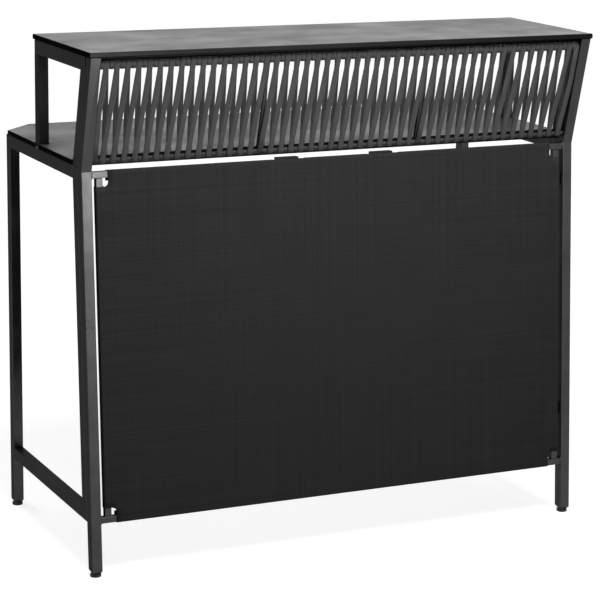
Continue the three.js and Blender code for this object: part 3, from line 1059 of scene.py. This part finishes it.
    def fillers(
        self, name: str, rail: Vector, turns: Iterable[tuple[float, float]], sink: float
    ) -> bpy.types.Object:
        """Spins the closed wraps that cover one rail between strands.

        Args:
            name: the piece's name.
            rail: a point on the rail's axis.
            turns: each wrap's place at the front, and how far it has moved along the rail at the back.
            sink: how far the wraps' outside lies below the strands'.

        Returns:
            All the wraps of one bay on this rail as one piece.
        """
        bm = bmesh.new()
        layers = [bm.verts.layers.float.new(label) for label in (self.ALONG, self.ACROSS)]
        for x, advance in turns:
            self.wrap(bm, rail, x, advance, sink, layers)
        bmesh.ops.recalc_face_normals(bm, faces=bm.faces)
        return object_from(name, bm)

    def wrap(
        self,
        bm: bmesh.types.BMesh,
        rail: Vector,
        x: float,
        advance: float,
        sink: float,
        layers: list[bmesh.types.BMLayerItem],
    ) -> None:
        """Adds one closed turn round a rail, slanted as its neighbours are.

        Args:
            bm: the bmesh to add to.
            rail: a point on the rail's axis.
            x: the turn's place at the front.
            advance: how far it has moved along the rail at the back.
            sink: how far its outside lies below the strands'.
            layers: the along and across layers.
        """
        x = max(-self.reach, min(self.reach, x))
        advance = min(advance, self.reach - x)
        verts = bmesh.ops.create_circle(bm, segments=self.ring_sides, radius=1.0)["verts"]
        edges = list({e for v in verts for e in v.link_edges})
        for vertex in verts:
            wide, deep = vertex.co.x, vertex.co.y
            away = self.radius - sink / 2.0 + deep * (self.strand_thickness - sink) / 2.0
            vertex.co = Vector((x + wide * self.filler_width / 2.0, rail.y, rail.z)) + self.front * away
            vertex[layers[1]] = wide
        before = set(bm.verts) - set(verts)
        bmesh.ops.spin(
            bm, geom=verts + edges, cent=(x, rail.y, rail.z), axis=X_AXIS, angle=2.0 * math.pi,
            steps=self.ring_steps, use_merge=True,
        )
        for vertex in set(bm.verts) - before:
            away = vertex.co - Vector((vertex.co.x, rail.y, rail.z))
            angle = math.atan2(away.dot(self.rise), away.dot(self.front))
            vertex[layers[0]] = angle * self.radius
            vertex.co.x += advance * (1.0 - math.cos(angle)) / 2.0


@dataclass
class SlingPanel:
    """Sling cloth stretched over four carrier tubes, its corners cut away."""

    FLAT_MAP: ClassVar[str] = "flat_cloth"

    material: bpy.types.Material
    tube: float = 14.0 * MM
    front_depth: float = 1.0 * MM
    carrier_gap: float = 1.3 * MM
    back_depth: float = 17.0 * MM
    outer_gap: float = 0.9 * MM
    fold_radius: float = 2.2 * MM
    hem: float = 20.0 * MM
    notch_width: float = 25.0 * MM
    notch_height: float = 32.0 * MM
    corner_round: float = 9.0 * MM
    thickness: float = 1.0 * MM
    columns: int = 56
    rows: int = 40
    fold_steps: int = 4
    hem_steps: int = 2
    pull: float = 1.2 * MM
    buffer_margin: float = 3.0 * MM
    tip_match: float = 1e-4

    def __post_init__(self) -> None:
        """Takes the panel's plane and size from its carrier tubes."""
        top, bottom = centre("panel_rail_top"), centre("panel_rail_bottom")
        self.rise = (top - bottom).normalized()
        self.front = X_AXIS.cross(self.rise)
        carrier_depth = self.front_depth + self.carrier_gap + self.tube / 2.0
        self.middle = (top + bottom) / 2.0 + self.front * carrier_depth
        low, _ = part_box("panel_bar_left")
        self.half_width = -low.x
        self.half_height = ((top - bottom).length + self.tube) / 2.0

    def stations(self, half: float, notch: float, count: int) -> list[float]:
        """Flat distances from the middle, with lines at the notch and through the folds.

        Args:
            half: half the panel's size on this axis.
            notch: the notch's size on this axis.
            count: number of steps across the plain middle.

        Returns:
            Distances from one hem to the other.
        """
        edge = half + self.outer_gap
        inner = half - notch
        plain = [-inner + 2.0 * inner * i / count for i in range(count + 1)]
        arc = self.fold_radius * math.pi / 2.0
        side = self.back_depth - self.front_depth - 2.0 * self.fold_radius
        start = edge - self.fold_radius
        outer = [inner + self.corner_round, (inner + self.corner_round + start) / 2.0, start]
        outer += [start + arc * i / self.fold_steps for i in range(1, self.fold_steps + 1)]
        outer += [start + arc + side * share for share in (0.5, 1.0)]
        turned = start + arc + side
        outer += [turned + arc * i / self.fold_steps for i in range(1, self.fold_steps + 1)]
        outer += [turned + arc + self.hem * i / self.hem_steps for i in range(1, self.hem_steps + 1)]
        return [-d for d in reversed(outer)] + plain + outer

    def folded(self, flat: float, half: float) -> tuple[float, float]:
        """Where a flat distance from the middle lies once the cloth goes round its tube.

        Args:
            flat: signed distance on the flat cloth.
            half: half the panel's size on this axis.

        Returns:
            Signed distance on the panel and depth behind its front plane.
        """
        sign, distance = math.copysign(1.0, flat), abs(flat)
        edge, r = half + self.outer_gap, self.fold_radius
        arc = r * math.pi / 2.0
        side = self.back_depth - self.front_depth - 2.0 * r
        start = edge - r
        if distance <= start:
            return flat, self.front_depth
        if distance <= start + arc:
            angle = (distance - start) / r
            depth = self.front_depth + r * (1.0 - math.cos(angle))
            return sign * (start + r * math.sin(angle)), depth
        if distance <= start + arc + side:
            return sign * edge, self.front_depth + r + distance - start - arc
        rest = distance - start - arc - side
        if rest <= arc:
            angle = rest / r
            depth = self.back_depth - r * (1.0 - math.sin(angle))
            return sign * (start + r * math.cos(angle)), depth
        return sign * (start - (rest - arc)), self.back_depth

    def build(self) -> None:
        across = self.stations(self.half_width, self.notch_width, self.columns)
        upright = self.stations(self.half_height, self.notch_height, self.rows)
        bm = bmesh.new()
        bmesh.ops.create_grid(bm, x_segments=len(across) - 1, y_segments=len(upright) - 1, size=0.5)
        flat_map = bm.loops.layers.uv.new(self.FLAT_MAP)
        spot = {}
        for vertex in bm.verts:
            column = round((vertex.co.x + 0.5) * (len(across) - 1))
            row = round((vertex.co.y + 0.5) * (len(upright) - 1))
            spot[vertex] = Vector((across[column], upright[row]))
        notch_u = self.half_width - self.notch_width
        notch_v = self.half_height - self.notch_height
        gone = [f for f in bm.faces if self.is_cut(f, spot, notch_u, notch_v)]
        bmesh.ops.delete(bm, geom=gone, context="FACES")
        for face in bm.faces:
            for loop in face.loops:
                loop[flat_map].uv = spot[loop.vert]
        for vertex in bm.verts:
            vertex.co = self.place(spot[vertex], notch_u, notch_v)
        piece = object_from("sling_cloth_panel", bm)
        wall = piece.modifiers.new("cloth_thickness", "SOLIDIFY")
        wall.thickness = self.thickness
        wall.offset = 0.0
        fit(piece, FRONT_BODY, self.material)
        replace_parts(piece, "fabric_panel")

    def is_cut(
        self,
        face: bmesh.types.BMFace,
        spot: dict[bmesh.types.BMVert, Vector],
        notch_u: float,
        notch_v: float,
    ) -> bool:
        """Tells whether a face of the flat grid lies in a cut-away corner or at a buffer.

        Args:
            face: the face.
            spot: each vertex's place on the flat cloth.
            notch_u: half width between the notches.
            notch_v: half height between the notches.

        Returns:
            True where no cloth is left.
        """
        middle = sum((spot[v] for v in face.verts), Vector((0.0, 0.0))) / len(face.verts)
        past_u, past_v = abs(middle.x) - notch_u, abs(middle.y) - notch_v
        if min(past_u, past_v) > 0.0 and max(past_u, past_v) > self.corner_round:
            return True
        behind = middle.y > self.half_height + self.back_depth / 2.0
        return behind and any(self.at_buffer(middle.x, f"wing_buffer_{side}") for side in SIDES)

    def at_buffer(self, x: float, node: str) -> bool:
        """Whether a place across the panel lies at a buffer."""
        low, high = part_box(node)
        return low.x - self.buffer_margin < x < high.x + self.buffer_margin

    def place(self, flat: Vector, notch_u: float, notch_v: float) -> Vector:
        """Puts a point of the flat cloth on the panel.

        Args:
            flat: the point on the cloth.
            notch_u: half width between the notches.
            notch_v: half height between the notches.

        Returns:
            The point in the frame.
        """
        x, depth_x = self.folded(flat.x, self.half_width)
        z, depth_z = self.folded(flat.y, self.half_height)
        tip_u = (abs(flat.x) - notch_u) / self.corner_round
        tip_v = (abs(flat.y) - notch_v) / self.corner_round
        if abs(tip_u - 1.0) < self.tip_match and abs(tip_v - 1.0) < self.tip_match:
            back = self.corner_round * math.sqrt(0.5)
            x -= math.copysign(back, x)
            z -= math.copysign(back, z)
        billow = math.cos(math.pi * x / (2.0 * self.half_width))
        billow *= math.cos(math.pi * z / (2.0 * self.half_height))
        depth = max(depth_x, depth_z) + self.pull * max(0.0, billow)
        return self.middle + X_AXIS * x + self.rise * z - self.front * depth


@dataclass
class LevellingFeet:
    """Round glides on threaded stems under the four legs."""

    material: bpy.types.Material
    pad_radius: float = 12.0 * MM
    pad_height: float = 9.0 * MM
    sole_recess: float = 0.3 * MM
    rim_start: float = 0.5 * MM
    rim_end: float = 1.4 * MM
    stem_radius: float = 4.0 * MM
    stem_height: float = 33.0 * MM
    threads: int = 9
    merge: float = 0.001 * MM
    steps: int = 48

    def profile(self) -> list[tuple[float, float]]:
        """Works out a glide's half section.

        Returns:
            Radius and height of its points, from the floor up the outside to the stem's top.
        """
        r, h, s = self.pad_radius, self.pad_height, self.stem_radius
        recess, top = self.sole_recess, self.stem_height
        sole = [(0.0, recess), (r * 0.78, recess), (r * 0.82, 0.0), (r * 0.92, 0.0)]
        rim = [(r * 0.98, self.rim_start), (r, self.rim_end), (r, h * 0.42)]
        groove = [(r * 0.97, h * 0.47), (r * 0.97, h * 0.53), (r, h * 0.58)]
        shoulder = [(r * 0.96, h * 0.68), (r * 0.86, h * 0.84), (r * 0.74, h * 0.96), (r * 0.66, h)]
        stem = [(s, h)]
        lead = (top - h) / self.threads
        for i in range(self.threads):
            stem += [(s * 0.86, h + lead * (i + 0.35)), (s, h + lead * (i + 0.85))]
        stem += [(s * 0.8, top), (0.0, top)]
        return sole + rim + groove + shoulder + stem

    def build(self) -> None:
        """Spins one glide for each leg."""
        for row in ("front", "rear"):
            for side in SIDES:
                node = f"foot_{row}_{side}"
                piece = self.glide(f"glide_{row}_{side}", centre(node))
                fit(piece, f"{row}_{side}_foot", self.material)
                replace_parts(piece, node)

    def glide(self, name: str, middle: Vector) -> bpy.types.Object:
        """Spins a glide about its upright axis.

        Args:
            name: the piece's name.
            middle: a point on the axis.

        Returns:
            The glide.
        """
        bm = bmesh.new()
        verts = [bm.verts.new((middle.x + r, middle.y, h)) for r, h in self.profile()]
        edges = [bm.edges.new(pair) for pair in zip(verts, verts[1:])]
        axis = Vector((middle.x, middle.y, 0.0))
        bmesh.ops.spin(
            bm, geom=verts + edges, cent=axis, axis=(0.0, 0.0, 1.0), angle=2.0 * math.pi,
            steps=self.steps, use_merge=True,
        )
        bmesh.ops.remove_doubles(bm, verts=bm.verts, dist=self.merge)
        bmesh.ops.recalc_face_normals(bm, faces=bm.faces)
        return object_from(name, bm)


@dataclass
class WeldSeams:
    """Coated weld beads where tubes meet, ground flush on the faces that other parts lie on."""

    material: bpy.types.Material
    bead: float = 1.6 * MM
    bead_sides: int = 6
    carrier_tube: float = 14.0 * MM

    def build(self) -> None:
        """Adds the beads of the front frame and of both wings."""
        up = Vector((0.0, 0.0, 1.0))
        along_y = Vector((0.0, 1.0, 0.0))
        for side, sign in SIDES.items():
            front = bmesh.new()
            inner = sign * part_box("rope_rail_upper")[1].x
            half = self.carrier_tube / 2.0
            for rail in ("panel_rail_top", "panel_rail_bottom"):
                middle = Vector((inner, centre(rail).y, centre(rail).z))
                square = ((-1.0, -1.0), (1.0, -1.0), (1.0, 1.0), (-1.0, 1.0))
                outs = [along_y * a + up * b for a, b in square]
                self.seam(front, [(middle + out * half, out) for out in outs], X_AXIS, True)
            fit(object_from(f"panel_welds_{side}", front), FRONT_BODY, self.material)
            wing = bmesh.new()
            for rail in ("shelf_rail", "stretcher"):
                low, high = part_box(f"{rail}_{side}")
                for y in (low.y, high.y):
                    ends = [Vector((x, y, low.z)) for x in (low.x + self.bead, high.x - self.bead)]
                    self.seam(wing, [(end, -up) for end in ends], along_y, False)
            fit(object_from(f"wing_welds_{side}", wing), f"wing_{side}", self.material)

    def seam(
        self, bm: bmesh.types.BMesh, corners: list[tuple[Vector, Vector]], axis: Vector, closed: bool
    ) -> None:
        """Adds a bead from corner to corner of a tube's end.

        Args:
            bm: the bmesh to add to.
            corners: each corner's place, and the way out of the tube there.
            axis: the tube's direction.
            closed: whether the bead comes back to its start.
        """
        rings = []
        for corner, out in corners:
            ring = bmesh.ops.create_circle(bm, segments=self.bead_sides, radius=self.bead)["verts"]
            for vertex in ring:
                vertex.co = corner + out * vertex.co.x + axis * vertex.co.y
            rings.append(list({e for v in ring for e in v.link_edges}))
        followers = rings[1:] + rings[:1] if closed else rings[1:]
        for ring, follower in zip(rings, followers):
            bmesh.ops.bridge_loops(bm, edges=ring + follower)
        bmesh.ops.holes_fill(bm, edges=bm.edges, sides=0)
        bmesh.ops.recalc_face_normals(bm, faces=bm.faces)


@dataclass
class HingeScrews:
    """Pan-head screws through the hinge leaves."""

    material: bpy.types.Material
    head_radius: float = 2.6 * MM
    head_height: float = 1.6 * MM
    spread: float = 16.0 * MM
    edge_distance: float = 5.72 * MM
    leaf_thickness: float = 3.0 * MM
    seat_sink: float = 0.2 * MM
    merge: float = 0.001 * MM
    steps: int = 20

    def build(self) -> None:
        """Adds two screws to each leaf, one piece for each body."""
        for side, sign in SIDES.items():
            for kind, body in (("leg", FRONT_BODY), ("wing", f"wing_{side}")):
                bm = bmesh.new()
                for level in ("lower", "upper"):
                    self.screws(bm, f"hinge_{kind}_leaf_{level}_{side}", sign)
                fit(object_from(f"hinge_screws_{kind}_{side}", bm), body, self.material)

    def screws(self, bm: bmesh.types.BMesh, leaf: str, sign: float) -> None:
        """Adds a leaf's two screws.

        Args:
            bm: the bmesh to add to.
            leaf: the leaf's node.
            sign: -1 on the left, 1 on the right.
        """
        low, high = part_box(leaf)
        pin = centre(leaf.replace("_leg_leaf", "_pin").replace("_wing_leaf", "_pin"))
        far = low.y if pin.y - low.y > high.y - pin.y else high.y
        y = far + math.copysign(self.edge_distance, pin.y - far)
        face = high.x - self.leaf_thickness if sign > 0 else low.x + self.leaf_thickness
        for lift in (-0.5, 0.5):
            z = (low.z + high.z) / 2.0 + lift * self.spread
            self.head(bm, Vector((face, y, z)), -sign)

    def head(self, bm: bmesh.types.BMesh, seat: Vector, out: float) -> None:
        """Spins one domed head with a round drive recess.

        Args:
            bm: the bmesh to add to.
            seat: middle of the head's seat.
            out: direction along X that the head faces.
        """
        r, h = self.head_radius, self.head_height
        dome = [(r, -self.seat_sink), (r, h * 0.35), (r * 0.85, h * 0.75), (r * 0.5, h)]
        recess = [(r * 0.42, h * 0.95), (r * 0.38, h * 0.4), (0.0, h * 0.3)]
        outline = dome + recess
        verts = [bm.verts.new(seat + Vector((out * lift, away, 0.0))) for away, lift in outline]
        edges = [bm.edges.new(pair) for pair in zip(verts, verts[1:])]
        before = set(bm.faces)
        bmesh.ops.spin(
            bm, geom=verts + edges, cent=seat, axis=X_AXIS, angle=2.0 * math.pi,
            steps=self.steps, use_merge=True,
        )
        made = [f for f in bm.faces if f not in before]
        bmesh.ops.remove_doubles(bm, verts=list({v for f in made for v in f.verts}), dist=self.merge)
        bmesh.ops.recalc_face_normals(bm, faces=[f for f in bm.faces if f not in before])


@dataclass
class CarriedNodes:
    """CAD nodes that stay: their edges are eased and each gets its finish."""

    finishes: dict[Slot, bpy.types.Material]
    # Coat with painted shade: darker and rougher, for the risers.
    matt: bpy.types.Material
    merge: float = 0.01 * MM
    eases: dict[str, float] = field(
        default_factory=lambda: {
            "bar_top": 0.5 * MM,
            "worktop": 0.5 * MM,
            "wing_buffer": 2.0 * MM,
            "hinge": 0.4 * MM,
            "leg_plug": 0.5 * MM,
            "riser_plug": 0.5 * MM,
        }
    )
    shaded_nodes: tuple[str, ...] = ("riser_left", "riser_right")
    tube_ease: float = 0.75 * MM
    ease_angle: float = 40.0
    segments: int = 3

    def slot_of(self, node: str) -> Slot:
        """Finds a node's slot in the record from its name.

        Args:
            node: the CAD node.

        Returns:
            Its slot.
        """
        if node in ("bar_top", "worktop"):
            return Slot.BOARD
        if "plug" in node or "buffer" in node:
            return Slot.PLASTIC
        if node.startswith("hinge"):
            return Slot.STEEL
        return Slot.COATING

    def build(self) -> None:
        """Eases and dresses every node that is still shown."""
        for node, piece in sorted(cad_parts.items()):
            if piece.hide_render:
                continue
            weld = piece.modifiers.new("join_corners", "WELD")
            weld.merge_threshold = self.merge
            ease = piece.modifiers.new("ease_edges", "BEVEL")
            widths = [w for start, w in self.eases.items() if node.startswith(start)]
            ease.width = widths[0] if widths else self.tube_ease
            ease.segments = self.segments
            ease.limit_method = "ANGLE"
            ease.angle_limit = math.radians(self.ease_angle)
            own = self.finishes[self.slot_of(node)]
            # Risers take the coat with painted shade.
            dress(piece, self.matt if node in self.shaded_nodes else own)
            log.info("%s eased and dressed", node)


def main() -> None:
    """Builds the studio and every sub-assembly in order."""
    logging.basicConfig(level=logging.INFO, format="%(name)s: %(message)s")
    Studio().build()
    effects = Effects()
    coat = COAT.build(effects)
    plastic = PLASTIC.build(effects)
    steel = HINGE_STEEL.build(effects)
    RopePanel(BRAID.build(effects), RAIL_SHADE_BRAID.build(effects)).build()
    SlingPanel(CLOTH.build(effects)).build()
    LevellingFeet(plastic).build()
    WeldSeams(coat).build()
    HingeScrews(steel).build()
    board = BOARD.build(effects)
    finishes = {Slot.COATING: coat, Slot.BOARD: board, Slot.PLASTIC: plastic, Slot.STEEL: steel}
    CarriedNodes(finishes, SHADED_COAT.build(effects)).build()


if __name__ == "__main__":
    main()
